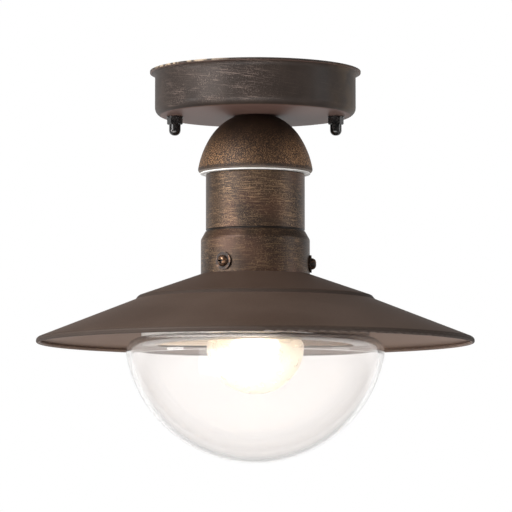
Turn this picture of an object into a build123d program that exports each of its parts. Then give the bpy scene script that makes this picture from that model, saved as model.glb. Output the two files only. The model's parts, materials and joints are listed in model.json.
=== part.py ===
from build123d import *
import os
from math import asin, cos, degrees, radians, sin, sqrt, tan

os.makedirs("parts", exist_ok=True)

# Driving dimensions, in millimetres and degrees. The ceiling is z = 0 and the front is -Y.

# Clearances
fit = 0.05
nesting_gap = 0.1
thread_gap = 0.3

# Canopy
canopy_radius = 62.0
canopy_height = 27.7
canopy_sheet = 1.2
canopy_corner = 5.0
rim_flare = 3.1
rim_edge = 1.2
rim_round = 2.0

# Mounting bracket
bracket_width = 20.0
bracket_sheet = 1.5
bracket_drop = 5.0
bracket_ramp = 4.0
bracket_bend = 1.0
bracket_end = 6.6
bracket_corner = 3.0
slot_length = 14.0
slot_width = 5.0
slot_margin = 3.0
cable_hole_radius = 5.5
tab_width = 18.0

# Studs and their nuts
stud_radius = 2.5
stud_inset = 12.3
stud_head_radius = 4.2
stud_head_height = 3.0
stud_head_round = 1.0
stud_tip_chamfer = 0.5
stud_seat_margin = 1.5
stud_hole_gap = 0.25
stud_nut_flats = 8.0
stud_nut_height = 4.0
stud_engagement = 7.3
cap_nut_flats = 8.3
cap_nut_hex_height = 4.2
cap_nut_chamfer = 0.5
cap_nut_dome_radius = 3.6
cap_nut_flat = 0.36
cap_nut_height = 11.0
cap_nut_tip_room = 1.2
nut_washer_radius = 5.0
nut_washer_sheet = 1.0

# Terminal block, earth screw and wires
pole_pitch = 10.0
pole_count = 3
block_length = 17.0
block_height = 11.0
block_edge_gap = 8.0
pole_depth = 4.5
pole_hole_radius = 1.4
clamp_inset = 4.0
clamp_screw_radius = 2.2
clamp_slot = 0.6
block_screw_radius = 1.5
block_screw_head = 2.6
block_screw_head_height = 1.8
earth_screw_radius = 1.75
earth_head_radius = 3.2
earth_head_height = 2.6
earth_head_round = 0.85
earth_screw_y = 2.0
lug_radius = 3.8
lug_sheet = 0.8
lug_barrel_radius = 1.6
lug_barrel_length = 4.5
wire_radius = 1.1
wire_spread = 1.5
wire_entry = 5.0
wire_run = 3.5
wire_bend = 7.0
wire_small_bend = 3.0

# Nipple
nipple_radius = 5.0
nipple_bore = 4.0
nipple_proud = 2.5
nipple_engagement = 8.5
nipple_nut_flats = 14.0
nipple_nut_height = 3.0
nipple_washer_radius = 8.5
nipple_washer_sheet = 0.8

# Dome cap and its seal
dome_overhang = 4.8
dome_height = 35.34
dome_sheet = 1.5
dome_top_radius = 12.0
dome_crown_inset = 2.6
dome_flank_angle = 33.0
dome_lip = 2.6
dome_lip_round = 2.2
dome_foot = 3.3
dome_seal_sheet = 0.6
dome_seal_setback = 1.4
dome_seal_foot = 4.0

# Neck housing
neck_radius = 30.5
neck_sheet = 1.5
neck_height = 35.2
neck_round = 0.8
shoulder_height = 5.5
shoulder_round = 3.0
crease_radius = 0.6
collar_step = 3.05
collar_height = 21.5

# Collar screws
collar_screw_count = 3
collar_screw_angle = -124.7
collar_screw_height = 6.5
collar_screw_radius = 2.0
collar_screw_reach = 1.8
collar_screw_head_radius = 3.5
collar_screw_head_height = 2.9
collar_screw_head_edge = 0.3
collar_washer_radius = 5.4
collar_washer_sheet = 1.0
cross_length = 3.4
cross_width = 1.0
cross_depth = 1.6

# Shade
shade_radius = 134.5
shade_sheet = 1.0
shade_flange = 12.6
seat_margin = 0.6
seat_round = 1.0
crown_angle = 19.19
crown_margin = 3.9
step_run = 2.0
step_drop = 2.42
step_round = 2.4
step_foot_round = 0.5
skirt_angle = 21.42
shade_rim_curve = 2.5
shade_rim_straight = 0.15
shade_bead = 1.2

# Glass holder
holder_radius = 68.0
holder_sheet = 2.0
holder_gap = 0.4
holder_flange_setback = 0.5
holder_round = 3.0
holder_skirt = 22.6
lug_width = 10.0
lug_height = 2.5
lug_first_angle = 30.0
lug_count = 3
lug_margin = 1.0

# Glass and its seal
glass_wall = 3.0
glass_neck_round = 1.0
glass_shoulder = 6.44
glass_corner = 9.2
glass_rise = 3.6
thread_room = 2.2
thread_pitch = 8.0
thread_turns = 1.25
thread_bead = 1.3
thread_lead = 1.2
glass_seal_sheet = 2.8
glass_seal_lip = 2.0
glass_seal_gap = 0.4

# Lampholder
holder_drop = 0.5
lamp_radius = 21.5
lamp_cap_height = 20.0
lamp_cap_sheet = 1.5
bush_radius = 8.0
bush_straight = 6.0
lamp_cap_slope = 6.0
lamp_top_wall = 5.0
lamp_skirt = 19.5
lamp_taper = 1.0
shell_radius = 14.0
shell_sheet = 0.5
post_radius = 2.5
post_height = 5.0
post_spread = 8.0
post_hole_depth = 3.5
contact_radius = 4.0
contact_height = 0.7
contact_stem_radius = 1.5

# Bulb
bulb_length = 104.0
bulb_radius = 30.0
bulb_wall = 0.8
bulb_neck_radius = 13.4
bulb_neck_curve = 45.0
bulb_skirt_gap = 0.8
bulb_cap_root = 12.3
bulb_cap_sheet = 0.4
bulb_cap_skirt = 3.0
bulb_cap_skirt_radius = 14.2
bulb_thread_pitch = 3.629
bulb_thread_ridge = 0.8
bulb_thread_ridges = 5
insulator_height = 2.5
insulator_top_radius = 5.5
tip_radius = 4.5
tip_height = 0.6
tip_round = 0.3
stem_radius = 3.2
stem_length = 20.0
stem_flare = 1.5
press_width = 9.0
press_depth = 4.0
press_length = 10.0
button_radius = 1.8
button_rod_radius = 1.1
button_drop = 11.0
lead_radius = 0.35
lead_spread = 3.0
filament_radius = 0.6
filament_ring = 11.0
filament_height = 2.0
filament_open = 110.0
support_count = 3

# Levels from the ceiling down
canopy_bottom = -canopy_height
canopy_floor = canopy_bottom + canopy_sheet
dome_radius = neck_radius + dome_overhang
dome_bottom = canopy_bottom - dome_height
neck_top = dome_bottom - dome_seal_sheet
neck_plate = neck_top - neck_sheet
shoulder_top = neck_top - neck_height
collar_top = shoulder_top - shoulder_height
collar_bottom = collar_top - collar_height
collar_screw_z = collar_bottom + collar_screw_height

# Radii of the nested flanges at the collar
collar_radius = neck_radius + collar_step
collar_inner = collar_radius - neck_sheet
shade_flange_radius = collar_inner - nesting_gap
holder_flange_radius = shade_flange_radius - shade_sheet - nesting_gap
nipple_hole = nipple_radius + fit
canopy_inner = canopy_radius - canopy_sheet


def save(piece, name):
    """Label a finished piece and write it as its own file."""
    piece.part.label = name
    export_step(piece.part, f"parts/{name}.step")


# Canopy: a cup with a flared rim, a flat top ring and a rounded lower corner
rim_radius = canopy_radius + rim_flare
stud_x = canopy_radius - stud_inset
wall_top = -rim_edge - rim_flare
corner_centre = (canopy_radius - canopy_corner, canopy_bottom + canopy_corner)
with BuildPart() as canopy:
    with BuildSketch(Plane.XZ):
        with BuildLine():
            Polyline((canopy_inner + rim_round, 0), (rim_radius, 0), (rim_radius, -rim_edge))
            CenterArc((rim_radius, wall_top), rim_flare, 90, 90)
            Line((canopy_radius, wall_top), (canopy_radius, corner_centre[1]))
            CenterArc(corner_centre, canopy_corner, 0, -90)
            Polyline(
                (corner_centre[0], canopy_bottom),
                (nipple_hole, canopy_bottom),
                (nipple_hole, canopy_floor),
                (corner_centre[0], canopy_floor),
            )
            CenterArc(corner_centre, canopy_corner - canopy_sheet, -90, 90)
            Line((canopy_inner, corner_centre[1]), (canopy_inner, -rim_round))
            CenterArc((canopy_inner + rim_round, -rim_round), rim_round, 180, -90)
        make_face()
    revolve(axis=Axis.Z)
    with Locations((-stud_x, 0, canopy_bottom), (stud_x, 0, canopy_bottom)):
        Hole(stud_radius + stud_hole_gap)
save(canopy, "canopy")

# Mounting bracket: a strip with lowered ends, two slots, a cable hole and a tab for the block
tab_inner = stud_x - stud_head_radius - stud_seat_margin
ramp_start = tab_inner - bracket_ramp
slot_x = ramp_start - slot_margin - slot_length / 2
bracket_half = stud_x + bracket_end
block_front = bracket_width / 2 + block_edge_gap
block_middle = block_front + block_length / 2
block_top = -bracket_sheet
block_bottom = block_top - block_height
pole_z = block_top - pole_depth
pole_x = [(i - (pole_count - 1) / 2) * pole_pitch for i in range(pole_count)]
earth_x = pole_x[0]
block_screw_x = [(a + b) / 2 for a, b in zip(pole_x, pole_x[1:])]
with BuildPart() as mounting_bracket:
    with BuildSketch(Plane.XZ):
        with BuildLine():
            FilletPolyline(
                (-bracket_half, -bracket_drop),
                (-tab_inner, -bracket_drop),
                (-ramp_start, 0),
                (ramp_start, 0),
                (tab_inner, -bracket_drop),
                (bracket_half, -bracket_drop),
                radius=bracket_bend,
            )
            offset(amount=bracket_sheet, side=Side.RIGHT)
        make_face()
    extrude(amount=bracket_width / 2, both=True)
    fillet(
        mounting_bracket.edges().filter_by(Axis.Z).group_by(Axis.X)[0]
        + mounting_bracket.edges().filter_by(Axis.Z).group_by(Axis.X)[-1],
        bracket_corner,
    )
    with BuildSketch():
        with Locations((0, 0)):
            Rectangle(tab_width, block_front + block_length, align=(Align.CENTER, Align.MIN))
    extrude(amount=-bracket_sheet)
    with BuildSketch():
        with Locations((-slot_x, 0), (slot_x, 0)):
            SlotOverall(slot_length, slot_width)
        Circle(cable_hole_radius)
        with Locations((earth_x, earth_screw_y)):
            Circle(earth_screw_radius + fit)
        with Locations([(x, block_middle) for x in block_screw_x]):
            Circle(block_screw_radius + fit)
    extrude(amount=-bracket_sheet, mode=Mode.SUBTRACT)
    with Locations((-stud_x, 0), (stud_x, 0)):
        Hole(stud_radius + fit)
save(mounting_bracket, "mounting_bracket")

# Studs: round-headed screws that stand down through the bracket's ends
washer_top = canopy_bottom
cap_nut_top = washer_top - nut_washer_sheet
stud_end = cap_nut_top - stud_engagement
bracket_end_bottom = -bracket_drop - bracket_sheet
with BuildPart() as bracket_studs:
    with BuildSketch(Plane.XY.offset(-bracket_drop)):
        with Locations((-stud_x, 0), (stud_x, 0)):
            Circle(stud_head_radius)
    extrude(amount=stud_head_height)
    fillet(bracket_studs.edges().group_by(Axis.Z)[-1], stud_head_round)
    with BuildSketch(Plane.XY.offset(-bracket_drop)):
        with Locations((-stud_x, 0), (stud_x, 0)):
            Circle(stud_radius)
    extrude(amount=stud_end + bracket_drop)
    chamfer(bracket_studs.edges().group_by(Axis.Z)[0], stud_tip_chamfer)
save(bracket_studs, "bracket_studs")

with BuildPart() as stud_lock_nuts:
    with BuildSketch(Plane.XY.offset(bracket_end_bottom)):
        with Locations((-stud_x, 0), (stud_x, 0)):
            RegularPolygon(stud_nut_flats / 2, 6, major_radius=False)
            Circle(stud_radius + fit, mode=Mode.SUBTRACT)
    extrude(amount=-stud_nut_height)
save(stud_lock_nuts, "stud_lock_nuts")

# Cap nuts and their washers, one pair on each stud
for side, x in (("left", -stud_x), ("right", stud_x)):
    with BuildPart() as nut_washer:
        with BuildSketch(Plane((x, 0, washer_top))):
            Circle(nut_washer_radius)
            Circle(stud_radius + fit, mode=Mode.SUBTRACT)
        extrude(amount=-nut_washer_sheet)
    save(nut_washer, f"nut_washer_{side}")

    with BuildPart() as cap_nut:
        with BuildSketch(Plane((x, 0, cap_nut_top))):
            RegularPolygon(cap_nut_flats / 2, 6, major_radius=False)
        extrude(amount=-cap_nut_hex_height)
        chamfer(cap_nut.edges().group_by(Axis.Z)[0], cap_nut_chamfer)
        with BuildSketch(Plane((x, 0, cap_nut_top - cap_nut_hex_height))):
            Circle(cap_nut_dome_radius)
        extrude(amount=cap_nut_hex_height - cap_nut_height)
        fillet(cap_nut.edges().group_by(Axis.Z)[0], cap_nut_dome_radius - cap_nut_flat)
        with BuildSketch(Plane((x, 0, cap_nut_top))):
            Circle(stud_radius + fit)
        extrude(amount=-stud_engagement - cap_nut_tip_room, mode=Mode.SUBTRACT)
    save(cap_nut, f"cap_nut_{side}")

# Terminal block: three poles in a row, with a wire hole along Y and two clamping screws each
clamp_y = [block_front + clamp_inset, block_front + block_length - clamp_inset]
clamp_top = pole_z - wire_radius - fit
clamp_bottom = block_bottom + clamp_slot
block_width = pole_count * pole_pitch
block_head_top = block_bottom + block_screw_head_height
clamp_places = [(x, y) for x in pole_x for y in clamp_y]
with BuildPart() as terminal_block:
    with BuildSketch(Plane.XY.offset(block_top)):
        with Locations((0, block_middle)):
            RectangleRounded(block_width, block_length, wire_radius)
    extrude(amount=-block_height)
    with BuildSketch(Plane.XZ.offset(-block_front)):
        with Locations([(x, pole_z) for x in pole_x]):
            Circle(pole_hole_radius)
    extrude(amount=-block_length, mode=Mode.SUBTRACT)
    with BuildSketch(Plane.XY.offset(block_bottom)):
        with Locations(clamp_places):
            Circle(clamp_screw_radius + fit)
    extrude(amount=pole_z - block_bottom, mode=Mode.SUBTRACT)
    with BuildSketch(Plane.XY.offset(block_bottom)):
        with Locations([(x, block_middle) for x in block_screw_x]):
            Circle(block_screw_head + fit)
    extrude(amount=block_screw_head_height, mode=Mode.SUBTRACT)
    with Locations([(x, block_middle, block_bottom) for x in block_screw_x]):
        Hole(block_screw_radius + fit)
save(terminal_block, "terminal_block")

with BuildPart() as terminal_screws:
    with BuildSketch(Plane.XY.offset(clamp_bottom)):
        with Locations(clamp_places):
            Circle(clamp_screw_radius)
    extrude(amount=clamp_top - clamp_bottom)
    with BuildSketch(Plane.XY.offset(clamp_bottom)):
        with Locations(clamp_places):
            Rectangle(clamp_screw_radius * 2, clamp_slot)
    extrude(amount=clamp_slot, mode=Mode.SUBTRACT)
save(terminal_screws, "terminal_screws")

with BuildPart() as terminal_block_screws:
    with BuildSketch(Plane.XY.offset(block_bottom)):
        with Locations([(x, block_middle) for x in block_screw_x]):
            Circle(block_screw_head)
    extrude(amount=block_screw_head_height)
    with BuildSketch(Plane.XY.offset(block_head_top)):
        with Locations([(x, block_middle) for x in block_screw_x]):
            Circle(block_screw_radius)
    extrude(amount=-fit - block_head_top)
    with BuildSketch(Plane.XY.offset(block_bottom)):
        with Locations([(x, block_middle) for x in block_screw_x]):
            Rectangle(block_screw_head * 2, clamp_slot)
    extrude(amount=clamp_slot, mode=Mode.SUBTRACT)
save(terminal_block_screws, "terminal_block_screws")

# Earth screw, with its ring lug and barrel between head and bracket
lug_bottom = block_top - lug_sheet
barrel_z = block_top - lug_barrel_radius
barrel_end = earth_screw_y + lug_radius + lug_barrel_length
with BuildPart() as earth_screw:
    with BuildSketch(Plane((earth_x, earth_screw_y, lug_bottom))):
        Circle(earth_head_radius)
    extrude(amount=-earth_head_height)
    fillet(earth_screw.edges().group_by(Axis.Z)[0], earth_head_round)
    with BuildSketch(Plane((earth_x, earth_screw_y, lug_bottom))):
        Circle(earth_screw_radius)
    extrude(amount=-fit - lug_bottom)
save(earth_screw, "earth_screw")

with BuildPart() as earth_lug:
    with BuildSketch(Plane((earth_x, earth_screw_y, block_top))):
        Circle(lug_radius)
        Rectangle(lug_barrel_radius * 2, lug_radius + lug_barrel_length, align=(Align.CENTER, Align.MIN))
        Circle(earth_screw_radius + fit, mode=Mode.SUBTRACT)
    extrude(amount=-lug_sheet)
    with BuildSketch(Plane.XZ.offset(-barrel_end)):
        with Locations((earth_x, barrel_z)):
            Circle(lug_barrel_radius)
    extrude(amount=lug_barrel_length)
save(earth_lug, "earth_lug")

# Nipple, with a washer and a nut above the canopy's floor and under the neck's plate
upper_nut_bottom = canopy_floor + nipple_washer_sheet
nipple_top = upper_nut_bottom + nipple_nut_height + nipple_proud
lower_nut_top = neck_plate - nipple_washer_sheet
lower_nut_bottom = lower_nut_top - nipple_nut_height
lamp_cap_top = lower_nut_bottom - holder_drop
nipple_bottom = lamp_cap_top - nipple_engagement
with BuildPart() as nipple:
    with BuildSketch(Plane.XY.offset(nipple_bottom)):
        Circle(nipple_radius)
        Circle(nipple_bore, mode=Mode.SUBTRACT)
    extrude(amount=nipple_top - nipple_bottom)
save(nipple, "nipple")

with BuildPart() as nipple_washers:
    for level in (canopy_floor, lower_nut_top):
        with BuildSketch(Plane.XY.offset(level)):
            Circle(nipple_washer_radius)
            Circle(nipple_hole, mode=Mode.SUBTRACT)
        extrude(amount=nipple_washer_sheet)
save(nipple_washers, "nipple_washers")

with BuildPart() as nipple_nuts:
    for level in (upper_nut_bottom, lower_nut_bottom):
        with BuildSketch(Plane.XY.offset(level)):
            RegularPolygon(nipple_nut_flats / 2, 6, major_radius=False)
            Circle(nipple_hole, mode=Mode.SUBTRACT)
        extrude(amount=nipple_nut_height)
save(nipple_nuts, "nipple_nuts")

# Dome cap: a flat seat on top, a round crown, a flatter flank, an upright lip and an inward foot
dome_crown_radius = dome_radius - dome_crown_inset
dome_crown_inner = dome_crown_radius - dome_sheet
dome_crown_rise = sqrt(dome_crown_radius**2 - dome_top_radius**2)
dome_crown_centre = (0, canopy_bottom - dome_crown_rise)
dome_top_angle = degrees(asin(dome_crown_rise / dome_crown_radius))
dome_ceiling = canopy_bottom - dome_sheet
dome_ceiling_angle = degrees(asin((dome_crown_rise - dome_sheet) / dome_crown_inner))
dome_lip_top = dome_bottom + dome_lip
dome_foot_radius = neck_radius - dome_foot
dome_foot_top = dome_bottom + dome_sheet
with BuildPart() as dome_cap:
    with BuildSketch(Plane.XZ):
        with BuildLine():
            Line((nipple_hole, canopy_bottom), (dome_top_radius, canopy_bottom))
            crown = CenterArc(
                dome_crown_centre, dome_crown_radius, dome_top_angle, dome_flank_angle - dome_top_angle
            )
            flank = TangentArc(crown @ 1, (dome_radius, dome_lip_top), tangent=crown % 1)
            FilletPolyline(
                (dome_radius, dome_lip_top),
                (dome_radius, dome_bottom),
                (dome_foot_radius, dome_bottom),
                radius=dome_lip_round,
            )
            flank_inner = flank.radius - dome_sheet
            flank_foot = degrees(asin((dome_foot_top - flank.arc_center.Y) / flank_inner))
            wall = CenterArc(flank.arc_center, flank_inner, flank_foot, dome_flank_angle - flank_foot)
            ceiling = CenterArc(
                dome_crown_centre,
                dome_crown_inner,
                dome_flank_angle,
                dome_ceiling_angle - dome_flank_angle,
            )
            Polyline(
                (dome_foot_radius, dome_bottom), (dome_foot_radius, dome_foot_top), wall @ 0
            )
            Polyline(
                ceiling @ 1, (nipple_hole, dome_ceiling), (nipple_hole, canopy_bottom)
            )
        make_face()
    revolve(axis=Axis.Z)
save(dome_cap, "dome_cap")

with BuildPart() as dome_seal:
    with BuildSketch(Plane.XY.offset(neck_top)):
        Circle(dome_radius - dome_seal_setback)
        Circle(neck_radius - dome_seal_foot, mode=Mode.SUBTRACT)
    extrude(amount=dome_seal_sheet)
save(dome_seal, "dome_seal")

# Neck housing: top plate, neck, crease, shoulder and collar, with one radial hole per collar screw
collar_angles = [collar_screw_angle + i * 360 / collar_screw_count for i in range(collar_screw_count)]
collar_planes = [
    Plane(
        origin=(0, 0, collar_screw_z),
        x_dir=(0, 0, 1),
        z_dir=(cos(radians(a)), sin(radians(a)), 0),
    )
    for a in collar_angles
]
with BuildPart() as neck_housing:
    with BuildSketch(Plane.XZ):
        with BuildLine():
            FilletPolyline(
                (nipple_hole, neck_top),
                (neck_radius, neck_top),
                (neck_radius, shoulder_top),
                (collar_radius, collar_top),
                (collar_radius, collar_bottom),
                radius=[neck_round, 0, shoulder_round],
            )
            offset(amount=neck_sheet, side=Side.RIGHT)
        make_face()
        with Locations((neck_radius, shoulder_top)):
            Circle(crease_radius, mode=Mode.SUBTRACT)
    revolve(axis=Axis.Z)
    for plane in collar_planes:
        with BuildSketch(plane):
            Circle(collar_screw_radius + nesting_gap)
        extrude(amount=collar_radius + collar_step, mode=Mode.SUBTRACT)
save(neck_housing, "neck_housing")

# Shade: upright flange, seat under the collar, crown, step, skirt, turned-down rim and rolled edge
seat_radius = collar_radius + seat_margin
crown_radius = holder_radius + crown_margin
crown_z = collar_bottom - (crown_radius - seat_radius) * tan(radians(crown_angle))
step_radius = crown_radius + step_run
step_z = crown_z - step_drop
rim_z = step_z - (shade_radius - step_radius) * tan(radians(skirt_angle))
rim_turn = shade_rim_curve * tan(radians(90 - skirt_angle) / 2)
edge_z = rim_z - rim_turn - shade_rim_straight
shade_flange_top = collar_bottom + shade_flange
with BuildPart() as shade:
    with BuildSketch(Plane.XZ):
        with BuildLine():
            FilletPolyline(
                (shade_flange_radius, shade_flange_top),
                (shade_flange_radius, collar_bottom),
                (seat_radius, collar_bottom),
                (crown_radius, crown_z),
                (step_radius, step_z),
                (shade_radius, rim_z),
                (shade_radius, edge_z),
                radius=[0, seat_round, step_round, step_foot_round, shade_rim_curve],
            )
            offset(amount=shade_sheet, side=Side.RIGHT)
        make_face()
        with Locations((shade_radius - shade_bead, edge_z)):
            Circle(shade_bead)
    revolve(axis=Axis.Z)
    for plane in collar_planes:
        with BuildSketch(plane):
            Circle(collar_screw_radius + nesting_gap)
        extrude(amount=collar_radius + collar_step, mode=Mode.SUBTRACT)
save(shade, "shade")

# Glass holder: flange for the collar screws, cone under the crown and a skirt with three thread lugs
holder_inner = holder_radius - holder_sheet
holder_seat_z = collar_bottom - shade_sheet / cos(radians(crown_angle)) - holder_gap
holder_edge_z = holder_seat_z - (holder_radius - seat_radius) * tan(radians(crown_angle))
holder_bottom = holder_edge_z - holder_skirt
glass_neck_radius = holder_inner - thread_room
seal_top = holder_bottom - nesting_gap
glass_top = seal_top - glass_seal_sheet
lug_angles = [lug_first_angle + i * 360 / lug_count for i in range(lug_count)]
lowest_lug_top = holder_bottom + lug_margin + lug_height
thread_height = thread_pitch * thread_turns
thread_bottom = lowest_lug_top + thread_gap + thread_bead - thread_pitch * lug_first_angle / 360
neck_end = thread_bottom + thread_height + thread_bead + thread_lead
with BuildPart() as glass_holder:
    with BuildSketch(Plane.XZ):
        with BuildLine():
            FilletPolyline(
                (holder_flange_radius, shade_flange_top - holder_flange_setback),
                (holder_flange_radius, holder_seat_z),
                (seat_radius, holder_seat_z),
                (holder_radius, holder_edge_z),
                (holder_radius, holder_bottom),
                radius=[0, seat_round, holder_round],
            )
            offset(amount=holder_sheet, side=Side.RIGHT)
        make_face()
    revolve(axis=Axis.Z)
    for angle in lug_angles:
        lug_top = lowest_lug_top + thread_pitch * (angle - lug_first_angle) / 360
        across = (cos(radians(angle)), sin(radians(angle)), 0)
        with BuildSketch(Plane(origin=(0, 0, lug_top), x_dir=across, z_dir=(0, 0, 1))):
            with Locations((glass_neck_radius + thread_gap, 0)):
                Rectangle(
                    thread_room - thread_gap + holder_sheet / 2,
                    lug_width,
                    align=(Align.MIN, Align.CENTER),
                )
        extrude(amount=-lug_height)
    for plane in collar_planes:
        with BuildSketch(plane):
            Circle(collar_screw_radius + fit)
        extrude(amount=collar_radius + collar_step, mode=Mode.SUBTRACT)
save(glass_holder, "glass_holder")

# Collar screws and their washers, each on its own radial plane
washer_seat = collar_radius + fit
head_seat = washer_seat + collar_washer_sheet
screw_tip = holder_flange_radius - holder_sheet - collar_screw_reach
for name, plane in zip(("front", "right", "rear"), collar_planes):
    with BuildPart() as collar_washer:
        with BuildSketch(plane.offset(washer_seat)):
            Circle(collar_washer_radius)
            Circle(collar_screw_radius + fit, mode=Mode.SUBTRACT)
        extrude(amount=collar_washer_sheet)
    save(collar_washer, f"collar_washer_{name}")

    with BuildPart() as collar_screw:
        with BuildSketch(plane.offset(head_seat)):
            Circle(collar_screw_head_radius)
        extrude(amount=collar_screw_head_height)
        head_axis = Axis(plane.origin, plane.z_dir)
        head_round = collar_screw_head_height - collar_screw_head_edge
        fillet(collar_screw.edges().group_by(head_axis)[-1], head_round)
        with BuildSketch(plane.offset(screw_tip)):
            Circle(collar_screw_radius)
        extrude(amount=head_seat - screw_tip)
        with BuildSketch(plane.offset(head_seat + collar_screw_head_height)):
            Rectangle(cross_length, cross_width)
            Rectangle(cross_width, cross_length)
        extrude(amount=-cross_depth, mode=Mode.SUBTRACT)
    save(collar_screw, f"collar_screw_{name}")

# Glass seal: a flat ring between the holder's skirt and the glass shoulder
with BuildPart() as glass_seal:
    with BuildSketch(Plane.XY.offset(seal_top)):
        Circle(holder_radius + glass_seal_lip)
        Circle(glass_neck_radius + glass_seal_gap, mode=Mode.SUBTRACT)
    extrude(amount=-glass_seal_sheet)
save(glass_seal, "glass_seal")

# Glass dome: neck, flat shoulder, rounded corner and a bowl tangent to it, with a helical bead
bowl_corner = (glass_neck_radius + glass_shoulder, glass_top - glass_corner)
bowl_centre_z = glass_top + glass_rise
bowl_reach = sqrt(bowl_corner[0] ** 2 + (bowl_centre_z - bowl_corner[1]) ** 2)
bowl_radius = bowl_reach + glass_corner
bowl_angle = -degrees(asin((bowl_centre_z - bowl_corner[1]) / bowl_reach))
glass_bore = glass_neck_radius - glass_wall
with BuildPart() as glass_dome:
    with BuildSketch(Plane.XZ):
        with BuildLine():
            Polyline(
                (glass_bore, neck_end),
                (glass_neck_radius, neck_end),
                (glass_neck_radius, glass_top),
                (bowl_corner[0], glass_top),
            )
            CenterArc(bowl_corner, glass_corner, 90, bowl_angle - 90)
            CenterArc((0, bowl_centre_z), bowl_radius, bowl_angle, -90 - bowl_angle)
            Line((0, bowl_centre_z - bowl_radius), (0, bowl_centre_z - bowl_radius + glass_wall))
            CenterArc((0, bowl_centre_z), bowl_radius - glass_wall, -90, 90 + bowl_angle)
            CenterArc(bowl_corner, glass_corner - glass_wall, bowl_angle, 90 - bowl_angle)
            Polyline(
                (bowl_corner[0], glass_top - glass_wall),
                (glass_bore, glass_top - glass_wall),
                (glass_bore, neck_end),
            )
        make_face()
    revolve(axis=Axis.Z)
    fillet(glass_dome.edges().group_by(Axis.Z)[-1], glass_neck_round)
    with BuildLine() as bead_path:
        Helix(thread_pitch, thread_height, glass_neck_radius, center=(0, 0, thread_bottom))
    bead_start = Plane(origin=bead_path.line @ 0, x_dir=(1, 0, 0), z_dir=bead_path.line % 0)
    with BuildSketch(bead_start):
        Circle(thread_bead)
    sweep(is_frenet=True)
save(glass_dome, "glass_dome")

# Lampholder: threaded cap on the nipple, porcelain body, brass shell, posts and centre contact
lamp_top = lamp_cap_top - lamp_cap_height
bore_top = lamp_top - lamp_top_wall
lamp_bottom = bore_top - lamp_skirt
slope_bottom = lamp_cap_top - bush_straight - lamp_cap_slope
with BuildPart() as lampholder_cap:
    with BuildSketch(Plane.XZ):
        with BuildLine():
            Polyline(
                (nipple_hole, lamp_cap_top),
                (bush_radius, lamp_cap_top),
                (bush_radius, lamp_cap_top - bush_straight),
                (lamp_radius, slope_bottom),
                (lamp_radius, lamp_top),
                (lamp_radius - lamp_cap_sheet, lamp_top),
                (lamp_radius - lamp_cap_sheet, slope_bottom - lamp_cap_sheet),
                (nipple_hole, lamp_cap_top - nipple_engagement - fit),
                close=True,
            )
        make_face()
    revolve(axis=Axis.Z)
save(lampholder_cap, "lampholder_cap")

with BuildPart() as lampholder_body:
    with BuildSketch(Plane.XZ):
        with BuildLine():
            Polyline(
                (contact_stem_radius + fit, lamp_top),
                (lamp_radius, lamp_top),
                (lamp_radius, bore_top),
                (lamp_radius - lamp_taper, lamp_bottom),
                (shell_radius + fit, lamp_bottom),
                (shell_radius + fit, bore_top),
                (contact_stem_radius + fit, bore_top),
                close=True,
            )
        make_face()
    revolve(axis=Axis.Z)
    fillet(lampholder_body.edges().group_by(Axis.Z)[0].sort_by(SortBy.LENGTH)[-1], lamp_taper)
save(lampholder_body, "lampholder_body")

with BuildPart() as lampholder_shell:
    with BuildSketch(Plane.XY.offset(bore_top)):
        Circle(shell_radius)
        Circle(shell_radius - shell_sheet, mode=Mode.SUBTRACT)
    extrude(amount=lamp_taper - lamp_skirt)
save(lampholder_shell, "lampholder_shell")

with BuildPart() as lampholder_terminals:
    with BuildSketch(Plane.XY.offset(lamp_top)):
        with Locations((-post_spread, 0), (post_spread, 0)):
            Circle(post_radius)
    extrude(amount=post_height)
    with BuildSketch(Plane.XY.offset(lamp_top + post_height)):
        with Locations((-post_spread, 0), (post_spread, 0)):
            Circle(wire_radius + fit)
    extrude(amount=-post_hole_depth, mode=Mode.SUBTRACT)
save(lampholder_terminals, "lampholder_terminals")

with BuildPart() as centre_contact:
    with BuildSketch(Plane.XY.offset(bore_top)):
        Circle(contact_radius)
    extrude(amount=-contact_height)
    with BuildSketch(Plane.XY.offset(bore_top)):
        Circle(contact_stem_radius)
    extrude(amount=lamp_top_wall - nesting_gap)
save(centre_contact, "centre_contact")

# Wires: from the block's poles to the lampholder's posts and to the earth lug
post_top = lamp_top + post_height
wire_end = post_top - post_hole_depth + nesting_gap
fan_top = nipple_bottom - nesting_gap
fan_bottom = post_top + wire_run
lamp_wires = (
    ("neutral_wire", pole_x[1], -wire_spread, -post_spread),
    ("live_wire", pole_x[2], wire_spread, post_spread),
)
for name, start_x, bore_x, end_x in lamp_wires:
    with BuildPart() as lamp_wire:
        with BuildLine() as lamp_route:
            FilletPolyline(
                (start_x, block_front + wire_entry, pole_z),
                (start_x, block_front - wire_run, pole_z),
                (bore_x, 0, pole_z),
                (bore_x, 0, fan_top),
                (end_x, 0, fan_bottom),
                (end_x, 0, wire_end),
                radius=[wire_bend, wire_bend, wire_small_bend, wire_small_bend],
            )
        lamp_start = Plane(origin=lamp_route.line @ 0, z_dir=lamp_route.line % 0)
        with BuildSketch(lamp_start):
            Circle(wire_radius)
        sweep()
    save(lamp_wire, name)

with BuildPart() as earth_wire:
    with BuildLine() as earth_route:
        FilletPolyline(
            (earth_x, block_front + wire_entry, pole_z),
            (earth_x, block_front - wire_radius, pole_z),
            (earth_x, barrel_end + wire_radius, barrel_z),
            (earth_x, barrel_end, barrel_z),
            radius=wire_radius,
        )
    earth_start = Plane(origin=earth_route.line @ 0, z_dir=earth_route.line % 0)
    with BuildSketch(earth_start):
        Circle(wire_radius)
    sweep()
save(earth_wire, "earth_wire")

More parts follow.
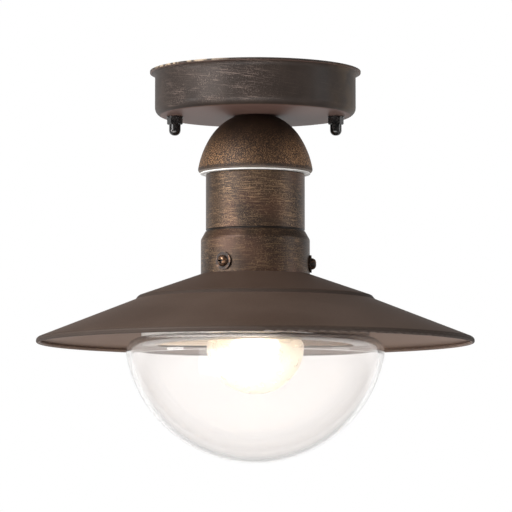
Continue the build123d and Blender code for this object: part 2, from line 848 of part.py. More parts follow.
# Bulb: envelope, screw cap, insulator, contact tip, stem, leads and filament
bulb_top = bore_top - contact_height - nesting_gap
bulb_centre = bulb_top - bulb_length + bulb_radius
tip_bottom = bulb_top - tip_height
insulator_bottom = tip_bottom - insulator_height
skirt_top = lamp_bottom - bulb_skirt_gap
envelope_top = skirt_top - bulb_cap_skirt / 2
cap_end = envelope_top - bulb_cap_skirt
neck_curve_x = bulb_neck_radius + bulb_neck_curve
neck_curve_rise = sqrt((bulb_radius + bulb_neck_curve) ** 2 - neck_curve_x**2)
neck_curve_z = bulb_centre + neck_curve_rise
bulb_angle = degrees(asin(neck_curve_rise / (bulb_radius + bulb_neck_curve)))
with BuildPart() as bulb_glass:
    with BuildSketch(Plane.XZ):
        with BuildLine():
            for wall in (0, bulb_wall):
                CenterArc((0, bulb_centre), bulb_radius - wall, -90, 90 + bulb_angle)
                CenterArc(
                    (neck_curve_x, neck_curve_z), bulb_neck_curve + wall, 180, bulb_angle
                )
                neck_x = bulb_neck_radius - wall
                Line((neck_x, neck_curve_z), (neck_x, envelope_top))
            Line((0, bulb_centre - bulb_radius), (0, bulb_centre - bulb_radius + bulb_wall))
            Line((bulb_neck_radius - bulb_wall, envelope_top), (bulb_neck_radius, envelope_top))
        make_face()
    revolve(axis=Axis.Z)
save(bulb_glass, "bulb_glass")

cap_inner = bulb_cap_root - bulb_cap_sheet
ridge_top = insulator_bottom - bulb_thread_pitch / 2
with BuildPart() as bulb_cap:
    with BuildSketch(Plane.XZ):
        with BuildLine():
            Polyline(
                (cap_inner, insulator_bottom),
                (bulb_cap_root, insulator_bottom),
                (bulb_cap_root, skirt_top),
                (bulb_cap_skirt_radius, envelope_top),
                (bulb_cap_skirt_radius, cap_end),
                (bulb_cap_skirt_radius - bulb_cap_sheet, cap_end),
                (bulb_cap_skirt_radius - bulb_cap_sheet, envelope_top),
                (cap_inner, skirt_top),
                close=True,
            )
        make_face()
        with Locations(
            [(bulb_cap_root, ridge_top - i * bulb_thread_pitch) for i in range(bulb_thread_ridges)]
        ):
            Circle(bulb_thread_ridge)
    revolve(axis=Axis.Z)
save(bulb_cap, "bulb_cap")

with BuildPart() as bulb_insulator:
    with BuildSketch(Plane.XY.offset(insulator_bottom)):
        Circle(bulb_cap_root)
    with BuildSketch(Plane.XY.offset(tip_bottom)):
        Circle(insulator_top_radius)
    loft()
save(bulb_insulator, "bulb_insulator")

with BuildPart() as bulb_tip:
    with BuildSketch(Plane.XY.offset(tip_bottom)):
        Circle(tip_radius)
    extrude(amount=tip_height)
    fillet(bulb_tip.edges().group_by(Axis.Z)[-1], tip_round)
save(bulb_tip, "bulb_tip")

stem_top = envelope_top
press_top = stem_top - stem_length
press_bottom = press_top - press_length
button_z = press_bottom - button_drop
with BuildPart() as bulb_stem:
    with BuildSketch(Plane.XY.offset(stem_top)):
        Circle(bulb_neck_radius - bulb_wall - fit)
    extrude(amount=-stem_flare)
    with BuildSketch(Plane.XY.offset(stem_top - stem_flare)):
        Circle(stem_radius)
    extrude(amount=stem_flare - stem_length)
    with BuildSketch(Plane.XY.offset(press_top)):
        Rectangle(press_width, press_depth)
    extrude(amount=-press_length)
    with BuildSketch(Plane.XY.offset(press_bottom)):
        Circle(button_rod_radius)
    extrude(amount=-button_drop)
    with Locations((0, 0, button_z)):
        Sphere(button_radius)
save(bulb_stem, "bulb_stem")

filament_z = bulb_centre + filament_height
open_middle = -90
filament_start = open_middle + filament_open / 2
filament_sweep = 360 - filament_open
with BuildPart() as bulb_filament:
    with BuildLine() as filament_line:
        CenterArc((0, 0, filament_z), filament_ring, filament_start, filament_sweep)
    filament_end = Plane(origin=filament_line.line @ 0, z_dir=filament_line.line % 0)
    with BuildSketch(filament_end):
        Circle(filament_radius)
    sweep()
save(bulb_filament, "bulb_filament")

rod_top = filament_z + filament_radius + nesting_gap + lead_radius
support_angles = [
    filament_start + filament_sweep * (i + 1) / (support_count + 1) for i in range(support_count)
]
end_angles = (filament_start + filament_sweep, filament_start)
rods = [
    ((x, 0, press_bottom - lead_radius), angle)
    for x, angle in zip((-lead_spread, lead_spread), end_angles)
]
for angle in support_angles:
    reach = button_radius + lead_radius
    start = (reach * cos(radians(angle)), reach * sin(radians(angle)), button_z)
    rods.append((start, angle))
with BuildPart() as bulb_leads:
    for start, angle in rods:
        end = Vector(
            filament_ring * cos(radians(angle)), filament_ring * sin(radians(angle)), rod_top
        )
        run = end - Vector(start)
        with BuildSketch(Plane(origin=start, z_dir=run)):
            Circle(lead_radius)
        extrude(amount=run.length)
save(bulb_leads, "bulb_leads")
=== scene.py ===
"""Looks of an outdoor ceiling light: finishes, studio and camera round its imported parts. Metres, +Z up."""

import json

import bpy
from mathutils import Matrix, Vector


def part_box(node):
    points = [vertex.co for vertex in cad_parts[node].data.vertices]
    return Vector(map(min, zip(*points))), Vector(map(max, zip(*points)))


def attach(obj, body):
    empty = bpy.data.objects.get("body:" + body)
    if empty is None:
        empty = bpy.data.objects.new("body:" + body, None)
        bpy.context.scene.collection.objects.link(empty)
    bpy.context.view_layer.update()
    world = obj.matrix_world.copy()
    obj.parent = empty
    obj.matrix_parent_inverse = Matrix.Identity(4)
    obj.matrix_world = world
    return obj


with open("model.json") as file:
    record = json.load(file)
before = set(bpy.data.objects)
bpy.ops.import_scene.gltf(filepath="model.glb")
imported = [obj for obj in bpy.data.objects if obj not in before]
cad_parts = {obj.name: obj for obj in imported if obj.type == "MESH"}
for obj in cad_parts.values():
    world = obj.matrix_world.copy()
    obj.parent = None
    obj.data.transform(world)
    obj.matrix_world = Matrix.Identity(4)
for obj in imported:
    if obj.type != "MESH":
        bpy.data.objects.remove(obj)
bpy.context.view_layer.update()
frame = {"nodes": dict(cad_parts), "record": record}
parts = frame["nodes"]
scene = bpy.context.scene
scene.view_settings.view_transform = "Standard"

UP = (0.0, 0.0, 1.0)
DOWN = (0.0, 0.0, -1.0)
RIGHT = (1.0, 0.0, 0.0)
BACK = (0.0, 1.0, 0.0)
WHITE = (1.0, 1.0, 1.0, 1.0)

# The photograph's viewpoint: a long lens, a little below the light and square to its front.
CAMERA_DISTANCE = 2.031
CAMERA_HEIGHT = -0.279
CAMERA_AIM = (0.0004, 0.0, -0.1142)
CAMERA_LENS = 232.8
SENSOR_WIDTH = 36.0
SIGHT = 50.0

# The collar screws' heads: how far from the upright axis they start and end, and the reach of their recess.
HEAD_SEAT = 0.0346
HEAD_TOP = 0.0375
RECESS_RADIUS = 0.0026

# The neck's height, from its top to the crease above its shoulder.
NECK_HEIGHT = 0.0352

# The height of the foot of the shade's crown.
CROWN_FOOT = -0.14

# The floor: its grey where it lights the part and where it is seen.
# Its glow is given near by, far off and in mirrors.
FLOOR_HEIGHT = -0.75
FLOOR_SIZE = 14.0
FLOOR_LIT = (0.86, 0.86, 0.86, 1.0)
FLOOR_SEEN = (0.25, 0.25, 0.25, 1.0)
FLOOR_NEAR = 0.6
FLOOR_FAR = 0.92
FLOOR_MIRRORED = 0.85

# The room in front and the backdrop behind: the light that they give, and how bright they are in mirrors.
AMBIENT = 0.28
BACKDROP_LIGHT = 0.7
ROOM_GLOSS = 0.1
BACKDROP_GLOSS = 0.9

# Each lamp's name, place, width, height and power in watts. All are turned to one place in the light.
LAMP_AIM = (0.0, 0.0, -0.12)
LAMPS = (
    ("key_left", (-1.3, -1.05, 0.75), 0.9, 1.3, 33),
    ("strip_left", (-1.5, -0.45, -0.24), 0.5, 0.55, 9),
    ("fill_right", (1.6, -0.3, 0.1), 0.6, 1.3, 7),
    ("bounce_below", (-0.2, -0.7, -0.7), 1.2, 0.9, 13),
)


def srgb(red, green, blue):
    """A screen colour, 0 to 255 a channel, as linear RGBA."""
    def linear(level):
        share = level / 255
        return share / 12.92 if share <= 0.04045 else ((share + 0.055) / 1.055) ** 2.4

    return (linear(red), linear(green), linear(blue), 1.0)


class Nodes:
    """Short calls for the nodes of one tree."""

    def __init__(self, tree):
        self.tree = tree

    def feed(self, socket, value):
        """Links a socket to another node's output, or sets its plain value."""
        if isinstance(value, bpy.types.NodeSocket):
            self.tree.links.new(value, socket)
        else:
            socket.default_value = value

    def node(self, kind, inputs=None, **settings):
        """A new node with its settings made and its inputs fed."""
        made = self.tree.nodes.new("ShaderNode" + kind)
        for name, value in settings.items():
            setattr(made, name, value)
        for key, value in (inputs or {}).items():
            self.feed(made.inputs[key], value)
        return made

    def band(self, value, low, high, start=0.0, end=1.0):
        """A smooth step from start to end as value goes from low to high."""
        made = self.node("MapRange", {
            "Value": value, "From Min": low, "From Max": high, "To Min": start, "To Max": end,
        }, interpolation_type="SMOOTHSTEP")
        return made.outputs[0]

    def maths(self, operation, first, second=0.0):
        made = self.node("Math", {0: first, 1: second}, operation=operation)
        return made.outputs[0]

    def times(self, first, *others):
        """The product of several values."""
        for other in others:
            first = self.maths("MULTIPLY", first, other)
        return first

    def mix(self, share, first, second):
        """A colour between two, first at share 0 and second at 1."""
        made = self.node("Mix", {0: share, 6: first, 7: second}, data_type="RGBA")
        return made.outputs[2]

    def mix_value(self, share, first, second):
        """A number between two, first at share 0 and second at 1."""
        made = self.node("Mix", {0: share, 2: first, 3: second})
        return made.outputs[0]


class Finish(Nodes):
    """A material with one Principled shader, and patterns and masks by place and by facing."""

    def __init__(self, name):
        self.material = bpy.data.materials.new(name)
        self.material.use_nodes = True
        super().__init__(self.material.node_tree)
        self.shader = self.tree.nodes["Principled BSDF"]
        coordinates = self.node("TexCoord").outputs
        self.place = coordinates["Object"]
        self.normal = coordinates["Normal"]

    def set(self, **values):
        """Sets the shader's sockets: base_color=... is its Base Color."""
        for name, value in values.items():
            label = " ".join("IOR" if word == "ior" else word.capitalize() for word in name.split("_"))
            self.feed(self.shader.inputs[label], value)

    def noise(self, scale, detail=2.0, roughness=0.5, shift=0.0, tilt=0.0):
        """Noise with grains of 1/scale metres: one scale, or one each for X, Y and Z, tilted about Y."""
        stretch = scale if isinstance(scale, tuple) else (scale, scale, scale)
        turned = self.node("VectorRotate", {"Vector": self.place, "Angle": tilt}, rotation_type="Y_AXIS")
        mapped = self.node("Mapping", {
            "Vector": turned.outputs[0], "Scale": stretch, "Location": (shift, shift, shift),
        })
        made = self.node("TexNoise", {
            "Vector": mapped.outputs[0], "Scale": 1.0, "Detail": detail, "Roughness": roughness,
        })
        return made.outputs[0]

    def cells(self, scale):
        """A random grey for each cell of about 1/scale metres."""
        made = self.node("TexVoronoi", {"Vector": self.place, "Scale": scale})
        return self.node("SeparateColor", {"Color": made.outputs["Color"]}).outputs[0]

    def vector(self, operation, first, second=(0.0, 0.0, 0.0)):
        made = self.node("VectorMath", {0: first, 1: second}, operation=operation)
        return made.outputs["Vector"]

    def dot(self, first, second):
        made = self.node("VectorMath", {0: first, 1: second}, operation="DOT_PRODUCT")
        return made.outputs["Value"]

    def along(self, direction):
        """How far each point lies along a direction from the frame's origin, in metres."""
        return self.dot(self.place, direction)

    def facing(self, direction):
        """How squarely each face looks along a direction: 1 towards it, -1 away from it."""
        return self.dot(self.normal, direction)

    def outward(self):
        """The level direction from the frame's upright axis to each point."""
        return self.vector("NORMALIZE", self.vector("MULTIPLY", self.place, (1.0, 1.0, 0.0)))

    def reach(self):
        """How far each point lies from the frame's upright axis, in metres."""
        return self.dot(self.place, self.outward())

    def aside(self, axis):
        """How far each point lies from the level line through the upright axis and a given point."""
        away = self.vector("SUBTRACT", self.place, (0.0, 0.0, axis.z))
        level = Vector((axis.x, axis.y, 0.0)).normalized()
        crossed = self.vector("CROSS_PRODUCT", away, tuple(level))
        return self.node("VectorMath", {0: crossed}, operation="LENGTH").outputs["Value"]

    def bump(self, height, depth, strength):
        """A relief whose full height is depth, in metres."""
        made = self.node("Bump", {"Height": height, "Distance": depth, "Strength": strength})
        self.set(normal=made.outputs[0])


def brushed_canopy():
    """Grey-brown paint: fine pinkish scratches in front, rust at the right, pale rim wear with a painted
    highlight, and a paler underside painted as light from below.
    """
    finish = Finish("canopy_finish")
    low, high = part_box("canopy")
    height = finish.along(UP)

    mottle = finish.band(finish.noise(38, detail=3), 0.35, 0.65)
    paint = finish.mix(mottle, srgb(38, 29, 24), srgb(50, 40, 34))
    stain = finish.band(finish.noise(70, detail=2, shift=5.5), 0.34, 0.66, 0.15, 0.55)
    right_front = finish.band(finish.along((0.96, -0.28, 0.0)), 0.053, 0.063)
    paint = finish.mix(finish.times(stain, right_front), paint, srgb(84, 66, 46))
    # Painted light: the down-facing underside gets a paler pink paint, standing in for light from below.
    painted_underside_light = finish.band(finish.facing(DOWN), 0.9, 0.98)
    paint = finish.mix(painted_underside_light, paint, srgb(94, 71, 63))

    scratches = finish.noise((75, 75, 2600), detail=4, roughness=0.65, tilt=-0.12)
    streaks = finish.band(scratches, 0.55, 0.7)
    grain = finish.noise(1600, detail=2, roughness=0.6, shift=1.3)
    dust = finish.band(grain, 0.5, 0.7, 0.0, 0.5)
    patches = finish.band(finish.noise((60, 60, 110), detail=3, shift=3.7), 0.34, 0.64, 0.2, 0.95)
    front = finish.band(finish.along((-0.45, -0.89, 0.0)), 0.043, 0.063, 0.08, 0.76)
    wall = finish.band(height, low.z + 0.0009, low.z + 0.0037)
    bare = finish.times(finish.maths("MAXIMUM", streaks, dust), patches, front, wall)
    worn = finish.mix(bare, paint, srgb(156, 135, 125))

    # Pale rim wear kept to the left front, where the light falls on the rim: partly wear, partly a painted
    # highlight.
    left_front = finish.band(finish.along((-0.7, -0.7, 0.0)), 0.052, 0.066)
    rim = finish.band(height, high.z - 0.0013, high.z - 0.0006)
    flakes = finish.band(finish.noise(240, detail=3, shift=7.0), 0.42, 0.6)
    rim_wear_and_highlight = finish.times(rim, left_front, flakes)
    finish.set(
        base_color=finish.mix(rim_wear_and_highlight, worn, srgb(176, 156, 132)),
        metallic=finish.band(bare, 0.0, 1.0, 0.0, 0.4),
        roughness=finish.band(bare, 0.0, 1.0, 0.6, 0.45),
        specular_ior_level=0.25,
        coat_weight=0.1,
        coat_roughness=0.25,
    )
    finish.bump(finish.maths("ADD", grain, bare), 0.00004, 0.5)
    return finish.material


def speckled_bronze():
    """Dark bronze with brushed gold: dots that thicken down the dome, fine lines round the neck; painted
    highlights on the dome's sides and lip, painted shade in the crease and at the lip.
    """
    finish = Finish("bronze_finish")
    height = finish.along(UP)
    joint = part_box("dome_cap")[0].z - 0.0003
    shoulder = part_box("neck_housing")[1].z - NECK_HEIGHT
    dome = finish.band(height, joint - 0.0001, joint + 0.0001)
    neck = finish.band(height, joint - 0.0001, joint + 0.0001, 1.0, 0.0)

    mottle = finish.band(finish.noise(42, detail=3, shift=2.0), 0.35, 0.65)
    blush = finish.band(finish.noise(30, detail=2, shift=6.6), 0.5, 0.66, 0.0, 0.3)
    neck_paint = finish.mix(mottle, srgb(44, 31, 22), srgb(66, 49, 36))
    neck_paint = finish.mix(blush, neck_paint, srgb(98, 62, 48))
    dome_paint = finish.mix(mottle, srgb(40, 27, 19), srgb(60, 43, 31))
    paint = finish.mix(dome, neck_paint, dome_paint)

    lines = finish.band(finish.noise((110, 110, 2600), detail=3, roughness=0.65), 0.52, 0.7)
    grain = finish.noise(1600, detail=2, roughness=0.65, shift=5.1)
    grains = finish.band(grain, 0.52, 0.7, 0.0, 0.9)
    patches = finish.band(finish.noise(48, detail=2, shift=8.3), 0.34, 0.64, 0.25, 0.9)
    brushed = finish.times(finish.maths("MAXIMUM", grains, lines), patches, neck)

    dots = finish.band(finish.noise(1700, detail=2, roughness=0.5, shift=9.2), 0.46, 0.7)
    lower = finish.band(height, joint + 0.031, joint + 0.006, 0.05, 1.0)
    # Painted highlight: the gold dots grow denser towards the dome's left and right sides, most at the
    # right.
    across = finish.along(RIGHT)
    side_sheen = finish.band(finish.maths("ABSOLUTE", across), 0.014, 0.031, 0.6, 1.5)
    right_sheen = finish.band(across, 0.008, 0.026, 1.0, 1.7)
    dots_and_sheen = finish.times(dots, side_sheen, right_sheen, lower, dome)

    gold = finish.maths("ADD", brushed, dots_and_sheen)
    metal_tone = finish.mix(dome, srgb(164, 132, 101), srgb(180, 138, 99))
    coloured = finish.mix(gold, paint, metal_tone)

    # Painted shade: a dark band in the crease above the neck's shoulder.
    above_crease = finish.band(height, shoulder + 0.001, shoulder + 0.0004, 0.0, 0.85)
    below_crease = finish.band(height, shoulder - 0.0012, shoulder - 0.0002)
    crease_shaded = finish.mix(finish.times(above_crease, below_crease), coloured, srgb(24, 18, 14))
    # Painted shade: a dark band on the dome's lip, with a painted highlight line just below it.
    lip_shade = finish.times(finish.band(height, joint + 0.0036, joint + 0.0029, 0.0, 0.7), dome)
    lip_shaded = finish.mix(lip_shade, crease_shaded, srgb(38, 30, 26))
    lit_edge = finish.times(finish.band(height, joint + 0.0016, joint + 0.001, 0.0, 0.6), dome)
    finish.set(
        base_color=finish.mix(lit_edge, lip_shaded, srgb(150, 138, 128)),
        metallic=finish.band(gold, 0.0, 1.0, 0.5, 0.8),
        roughness=finish.mix_value(dome, finish.band(gold, 0.0, 1.0, 0.44, 0.4), 0.58),
        coat_weight=0.05,
        coat_roughness=0.35,
    )
    finish.bump(finish.maths("ADD", grain, gold), 0.00006, 0.6)
    return finish.material


def matte_shade():
    """Matte brown paint with a fine grain and a darker crown; painted shade on step and rolled edge, painted
    light beneath.
    """
    finish = Finish("shade_finish")
    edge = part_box("shade")[0].z
    height = finish.along(UP)
    clouds = finish.noise(16, detail=3, shift=4.0)
    paint = finish.mix(finish.band(clouds, 0.35, 0.65), srgb(87, 69, 58), srgb(97, 79, 68))
    grain = finish.noise(1500, detail=2, roughness=0.6)
    grained = finish.mix(finish.band(grain, 0.4, 0.75, 0.0, 0.3), paint, srgb(128, 106, 93))
    crown = finish.band(height, CROWN_FOOT - 0.0015, CROWN_FOOT + 0.0015, 0.0, 0.5)
    toned = finish.mix(crown, grained, srgb(72, 52, 40))

    # Painted light: down-facing faces above the edge get a paler paint, standing in for light from below and
    # from the bulb.
    beneath = finish.band(finish.facing(DOWN), 0.5, 0.8)
    above_edge = finish.band(height, edge + 0.002, edge + 0.005)
    lit_beneath = finish.mix(finish.times(beneath, above_edge), toned, srgb(114, 94, 82))

    # Painted shade: steep outward faces such as the step, and the rolled edge just above the lowest point,
    # are darkened.
    outer = finish.facing(finish.outward())
    upright = finish.band(outer, 0.5, 0.75, 0.0, 0.68)
    at_edge = finish.band(height, edge + 0.0026, edge + 0.0018)
    rolled = finish.times(finish.band(outer, -0.1, 0.1, 0.0, 0.85), at_edge)
    steep_shade = finish.maths("MAXIMUM", upright, rolled)
    finish.set(
        base_color=finish.mix(steep_shade, lit_beneath, srgb(46, 36, 30)),
        metallic=0.15,
        roughness=finish.maths("MAXIMUM", finish.band(clouds, 0.3, 0.7, 0.52, 0.6), steep_shade),
    )
    finish.bump(grain, 0.00005, 0.4)
    return finish.material


def satin_holder():
    """The glass holder: pale satin paint, a little dusty, with painted shade towards the right."""
    finish = Finish("holder_finish")
    dust = finish.noise(70, detail=4, shift=6.0)
    grain = finish.noise(1400, detail=2)
    paint = finish.mix(finish.band(dust, 0.4, 0.7), srgb(230, 227, 223), srgb(216, 211, 207))
    # Painted shade: the holder's colour darkens towards the right.
    holder_right_shade = finish.band(finish.along(RIGHT), -0.005, 0.03)
    finish.set(
        base_color=finish.mix(holder_right_shade, paint, srgb(104, 93, 88)),
        metallic=0.2,
        roughness=finish.band(dust, 0.3, 0.7, 0.36, 0.46),
    )
    finish.bump(grain, 0.00004, 0.4)
    return finish.material


def pale_seal():
    """The glass's soft seal: pale silicone, with painted shade towards the right."""
    finish = Finish("clear_seal")
    skin = finish.noise(1600, detail=2)
    # Painted shade: the seal's colour darkens towards the right.
    dull = finish.band(finish.along(RIGHT), -0.01, 0.03)
    finish.set(
        base_color=finish.mix(dull, srgb(238, 235, 231), srgb(128, 113, 105)),
        roughness=finish.band(skin, 0.3, 0.7, 0.4, 0.48),
    )
    finish.bump(skin, 0.00003, 0.3)
    return finish.material


def glossy_bronze():
    """The collar screws and washers: dark bronze lacquer, rubbed to warm metal, most of all on the heads."""
    finish = Finish("screw_finish")
    reach = finish.reach()
    head = finish.band(reach, HEAD_SEAT, HEAD_SEAT + 0.0006, 0.2, 1.0)
    rub = finish.times(finish.band(finish.noise(420, detail=3, roughness=0.6), 0.42, 0.62), head)
    lacquer = finish.mix(rub, srgb(44, 30, 23), srgb(150, 114, 88))

    middles = [sum(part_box("collar_screw_" + side), Vector()) / 2 for side in ("front", "right", "rear")]
    aside = finish.aside(middles[0])
    for middle in middles[1:]:
        aside = finish.maths("MINIMUM", aside, finish.aside(middle))
    # Painted shade: the cross recess in each screw head is painted near black.
    sunk = finish.band(reach, HEAD_TOP - 0.0002, HEAD_TOP - 0.0006)
    recess = finish.times(sunk, finish.band(aside, RECESS_RADIUS, RECESS_RADIUS - 0.0004))
    finish.set(
        base_color=finish.mix(recess, lacquer, srgb(12, 8, 6)),
        metallic=finish.band(rub, 0.0, 1.0, 0.3, 0.9),
        roughness=finish.band(rub, 0.0, 1.0, 0.55, 0.3),
        coat_weight=0.05,
        coat_roughness=0.1,
    )
    finish.bump(finish.noise(900, detail=2), 0.00002, 0.5)
    return finish.material


def black_nickel():
    """The cap nuts and their washers: gloss black plating with fine pits."""
    finish = Finish("black_nut")
    pits = finish.noise(800, detail=3, roughness=0.6)
    finish.set(
        base_color=finish.mix(finish.band(pits, 0.45, 0.7), srgb(26, 24, 24), srgb(58, 54, 52)),
        metallic=0.6,
        roughness=finish.band(pits, 0.4, 0.7, 0.16, 0.32),
        coat_weight=0.6,
        coat_roughness=0.06,
    )
    finish.bump(pits, 0.00008, 0.6)
    return finish.material


def metal(name, dull, bright, rough, grain_scale, patch_scale):
    """Plain metal whose tone and gloss wander, with a fine grain."""
    finish = Finish(name)
    patches = finish.noise(patch_scale, detail=3)
    grain = finish.noise(grain_scale, detail=3, roughness=0.6, shift=2.4)
    finish.set(
        base_color=finish.mix(finish.band(patches, 0.35, 0.65), dull, bright),
        metallic=1.0,
        roughness=finish.band(grain, 0.3, 0.7, rough, rough + 0.14),
    )
    finish.bump(grain, 0.00003, 0.4)
    return finish.material


def zinc_plate():
    """Bright zinc on steel, with the faint spangle of its crystals."""
    finish = Finish("zinc_steel")
    spangle = finish.cells(420)
    brushing = finish.noise((900, 60, 900), detail=3)
    finish.set(
        base_color=finish.mix(spangle, srgb(176, 176, 172), srgb(212, 211, 205)),
        metallic=1.0,
        roughness=finish.band(brushing, 0.3, 0.7, 0.28, 0.42),
    )
    finish.bump(brushing, 0.00003, 0.4)
    return finish.material


def plastic(name, deep, light, rough):
    """Moulded or extruded plastic: even colour with a soft wander and a faint skin."""
    finish = Finish(name)
    wander = finish.noise(120, detail=2)
    skin = finish.noise(1600, detail=2)
    finish.set(
        base_color=finish.mix(finish.band(wander, 0.35, 0.65), deep, light),
        roughness=finish.band(skin, 0.3, 0.7, rough, rough + 0.08),
    )
    finish.bump(skin, 0.00003, 0.3)
    return finish.material


def striped_insulation():
    """Green earth insulation with a yellow stripe along its right side."""
    finish = Finish("green_insulation")
    stripe = finish.band(finish.facing(RIGHT), 0.3, 0.36)
    skin = finish.noise(1200, detail=2)
    finish.set(
        base_color=finish.mix(stripe, srgb(58, 132, 44), srgb(226, 196, 40)),
        roughness=finish.band(skin, 0.3, 0.7, 0.34, 0.42),
    )
    finish.bump(skin, 0.00003, 0.3)
    return finish.material


def clear_glass():
    """The bowl: clear glass, faintly warm and milky, with a soft gloss."""
    finish = Finish("clear_glass")
    waves = finish.noise(28, detail=2)
    finish.set(
        base_color=(0.993, 0.974, 0.964, 1.0),
        transmission_weight=0.97,
        roughness=finish.band(waves, 0.3, 0.7, 0.02, 0.05),
        ior=1.42,
        coat_weight=0.2,
        coat_roughness=0.14,
    )
    return finish.material


def lit_bulb_glass():
    """The bulb's envelope and stem: thin frosted glass that glows warm white."""
    finish = Finish("bulb_glass")
    frost = finish.noise(160, detail=3)
    finish.set(
        base_color=(0.93, 0.9, 0.85, 1.0),
        transmission_weight=0.85,
        roughness=finish.band(frost, 0.3, 0.7, 0.25, 0.35),
        ior=1.2,
        emission_color=(1.0, 0.91, 0.78, 1.0),
        emission_strength=0.02,
    )
    return finish.material


def glowing_filament():
    """The bulb's filament, orange to pale yellow with heat."""
    finish = Finish("glowing_filament")
    heat = finish.noise(300, detail=1)
    finish.set(
        base_color=srgb(255, 220, 170),
        roughness=0.5,
        emission_color=finish.mix(heat, (1.0, 0.62, 0.26, 1.0), (1.0, 0.8, 0.5, 1.0)),
        emission_strength=40.0,
    )
    return finish.material


def glazed_porcelain():
    """The lampholder's body: off-white glaze with a few brown specks."""
    finish = Finish("porcelain")
    specks = finish.band(finish.noise(700, detail=2), 0.68, 0.74)
    body = finish.noise(60, detail=2, shift=1.0)
    paint = finish.mix(finish.band(body, 0.35, 0.65), srgb(238, 234, 226), srgb(228, 223, 213))
    finish.set(
        base_color=finish.mix(specks, paint, srgb(190, 176, 158)),
        roughness=finish.band(body, 0.3, 0.7, 0.14, 0.22),
        coat_weight=0.4,
    )
    finish.bump(body, 0.0002, 0.2)
    return finish.material


FINISHES = {
    "canopy_finish": brushed_canopy(),
    "bronze_finish": speckled_bronze(),
    "shade_finish": matte_shade(),
    "holder_finish": satin_holder(),
    "screw_finish": glossy_bronze(),
    "black_nut": black_nickel(),
    "zinc_steel": zinc_plate(),
    "brass": metal("brass", srgb(178, 138, 66), srgb(222, 184, 104), 0.22, 900, 130),
    "tinned_copper": metal("tinned_copper", srgb(190, 186, 178), srgb(220, 216, 208), 0.26, 1100, 200),
    "bulb_cap_metal": metal("bulb_cap_metal", srgb(186, 182, 174), srgb(216, 213, 206), 0.24, 1000, 150),
    "white_plastic": plastic("white_plastic", srgb(226, 224, 216), srgb(238, 236, 230), 0.36),
    "brown_insulation": plastic("brown_insulation", srgb(92, 56, 34), srgb(112, 70, 44), 0.3),
    "blue_insulation": plastic("blue_insulation", srgb(36, 84, 164), srgb(48, 102, 186), 0.3),
    "black_insulator": plastic("black_insulator", srgb(24, 24, 26), srgb(40, 40, 44), 0.16),
    "white_seal": plastic("white_seal", srgb(226, 224, 220), srgb(240, 238, 234), 0.42),
    "clear_seal": pale_seal(),
    "green_insulation": striped_insulation(),
    "porcelain": glazed_porcelain(),
    "clear_glass": clear_glass(),
    "bulb_glass": lit_bulb_glass(),
    "glowing_filament": glowing_filament(),
}

for subpart in frame["record"]["subparts"]:
    slots = parts[subpart["node"]].data.materials
    slots.clear()
    slots.append(FINISHES[subpart["material_slot"]])

# Glass lets the lamps' light through, so it casts no shadow.
for name in ("glass_dome", "bulb_glass", "bulb_stem"):
    parts[name].visible_shadow = False


def softbox(name, place, width, height, power):
    """A soft rectangular lamp at place, turned to the light, that isn't seen through the glass."""
    lamp = bpy.data.lights.new(name, "AREA")
    lamp.shape = "RECTANGLE"
    lamp.size = width
    lamp.size_y = height
    lamp.energy = power
    held = bpy.data.objects.new(name, lamp)
    held.location = place
    held.rotation_euler = (Vector(LAMP_AIM) - Vector(place)).to_track_quat("-Z", "Y").to_euler()
    held.visible_transmission = False
    scene.collection.objects.link(held)


def lamp_glow():
    """The bulb's own warm light, at its filament."""
    low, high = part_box("bulb_filament")
    lamp = bpy.data.lights.new("bulb_light", "POINT")
    lamp.energy = 0.06
    lamp.color = (1.0, 0.85, 0.68)
    lamp.shadow_soft_size = 0.016
    held = bpy.data.objects.new("bulb_light", lamp)
    held.location = (low + high) / 2
    scene.collection.objects.link(held)
    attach(held, "bulb")


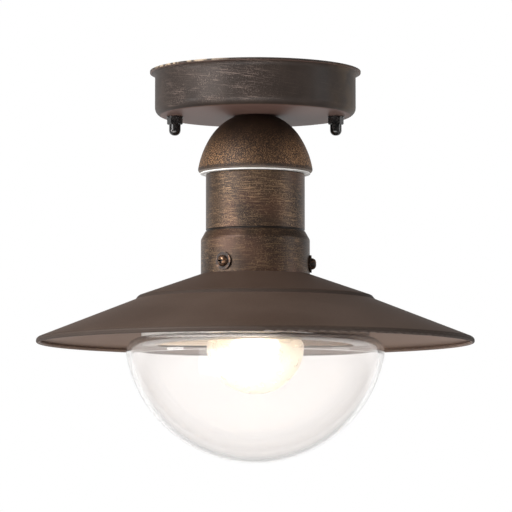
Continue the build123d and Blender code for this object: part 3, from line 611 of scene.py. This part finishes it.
def studio_world():
    """White to the camera and through glass; mirrors see a white backdrop behind and a dim room in front."""
    world = bpy.data.worlds.new("studio")
    world.use_nodes = True
    scene.world = world
    nodes = Nodes(world.node_tree)
    path = nodes.node("LightPath").outputs
    look = nodes.node("TexCoord").outputs["Generated"]
    axes = nodes.node("SeparateXYZ", {"Vector": look}).outputs
    behind = nodes.band(axes["Y"], 0.1, 0.7)
    low = nodes.band(axes["Z"], 0.1, 0.5, 1.0, 0.0)
    backdrop = nodes.times(behind, low)
    gloss = nodes.mix_value(backdrop, ROOM_GLOSS, BACKDROP_GLOSS)
    light = nodes.mix_value(backdrop, AMBIENT, BACKDROP_LIGHT)
    lit = nodes.mix_value(path["Is Glossy Ray"], light, gloss)
    seen = nodes.maths("MAXIMUM", path["Is Camera Ray"], path["Is Transmission Ray"])
    background = world.node_tree.nodes["Background"]
    nodes.feed(background.inputs["Color"], WHITE)
    nodes.feed(background.inputs["Strength"], nodes.mix_value(seen, lit, 1.0))


def pale_floor():
    """A wide pale floor that takes the light's shadow and brightens into the white background."""
    half = FLOOR_SIZE / 2
    mesh = bpy.data.meshes.new("floor")
    corners = [(x, y, FLOOR_HEIGHT) for x, y in ((-half, -half), (half, -half), (half, half), (-half, half))]
    mesh.from_pydata(corners, [], [(0, 1, 2, 3)])
    floor = bpy.data.objects.new("floor", mesh)
    scene.collection.objects.link(floor)

    finish = Finish("floor_finish")
    path = finish.node("LightPath").outputs
    seen = finish.maths("MAXIMUM", path["Is Camera Ray"], path["Is Transmission Ray"])
    pale = finish.band(finish.reach(), 0.4, 5.0, FLOOR_NEAR, FLOOR_FAR)
    far = finish.band(finish.along(BACK), 0.8, 2.6, 0.0, FLOOR_MIRRORED)
    mirrored = finish.times(path["Is Glossy Ray"], far)
    finish.set(
        base_color=finish.mix(seen, FLOOR_LIT, FLOOR_SEEN),
        roughness=0.8,
        emission_color=WHITE,
        emission_strength=finish.maths("MAXIMUM", finish.times(seen, pale), mirrored),
    )
    mesh.materials.append(finish.material)


def photo_camera():
    """The camera at the photograph's viewpoint."""
    lens = bpy.data.cameras.new("camera")
    lens.lens = CAMERA_LENS
    lens.sensor_width = SENSOR_WIDTH
    lens.clip_end = SIGHT
    held = bpy.data.objects.new("camera", lens)
    held.location = (CAMERA_AIM[0], -CAMERA_DISTANCE, CAMERA_HEIGHT)
    held.rotation_euler = (Vector(CAMERA_AIM) - held.location).to_track_quat("-Z", "Y").to_euler()
    scene.collection.objects.link(held)
    scene.camera = held


for lamp_values in LAMPS:
    softbox(*lamp_values)
lamp_glow()
studio_world()
pale_floor()
photo_camera()
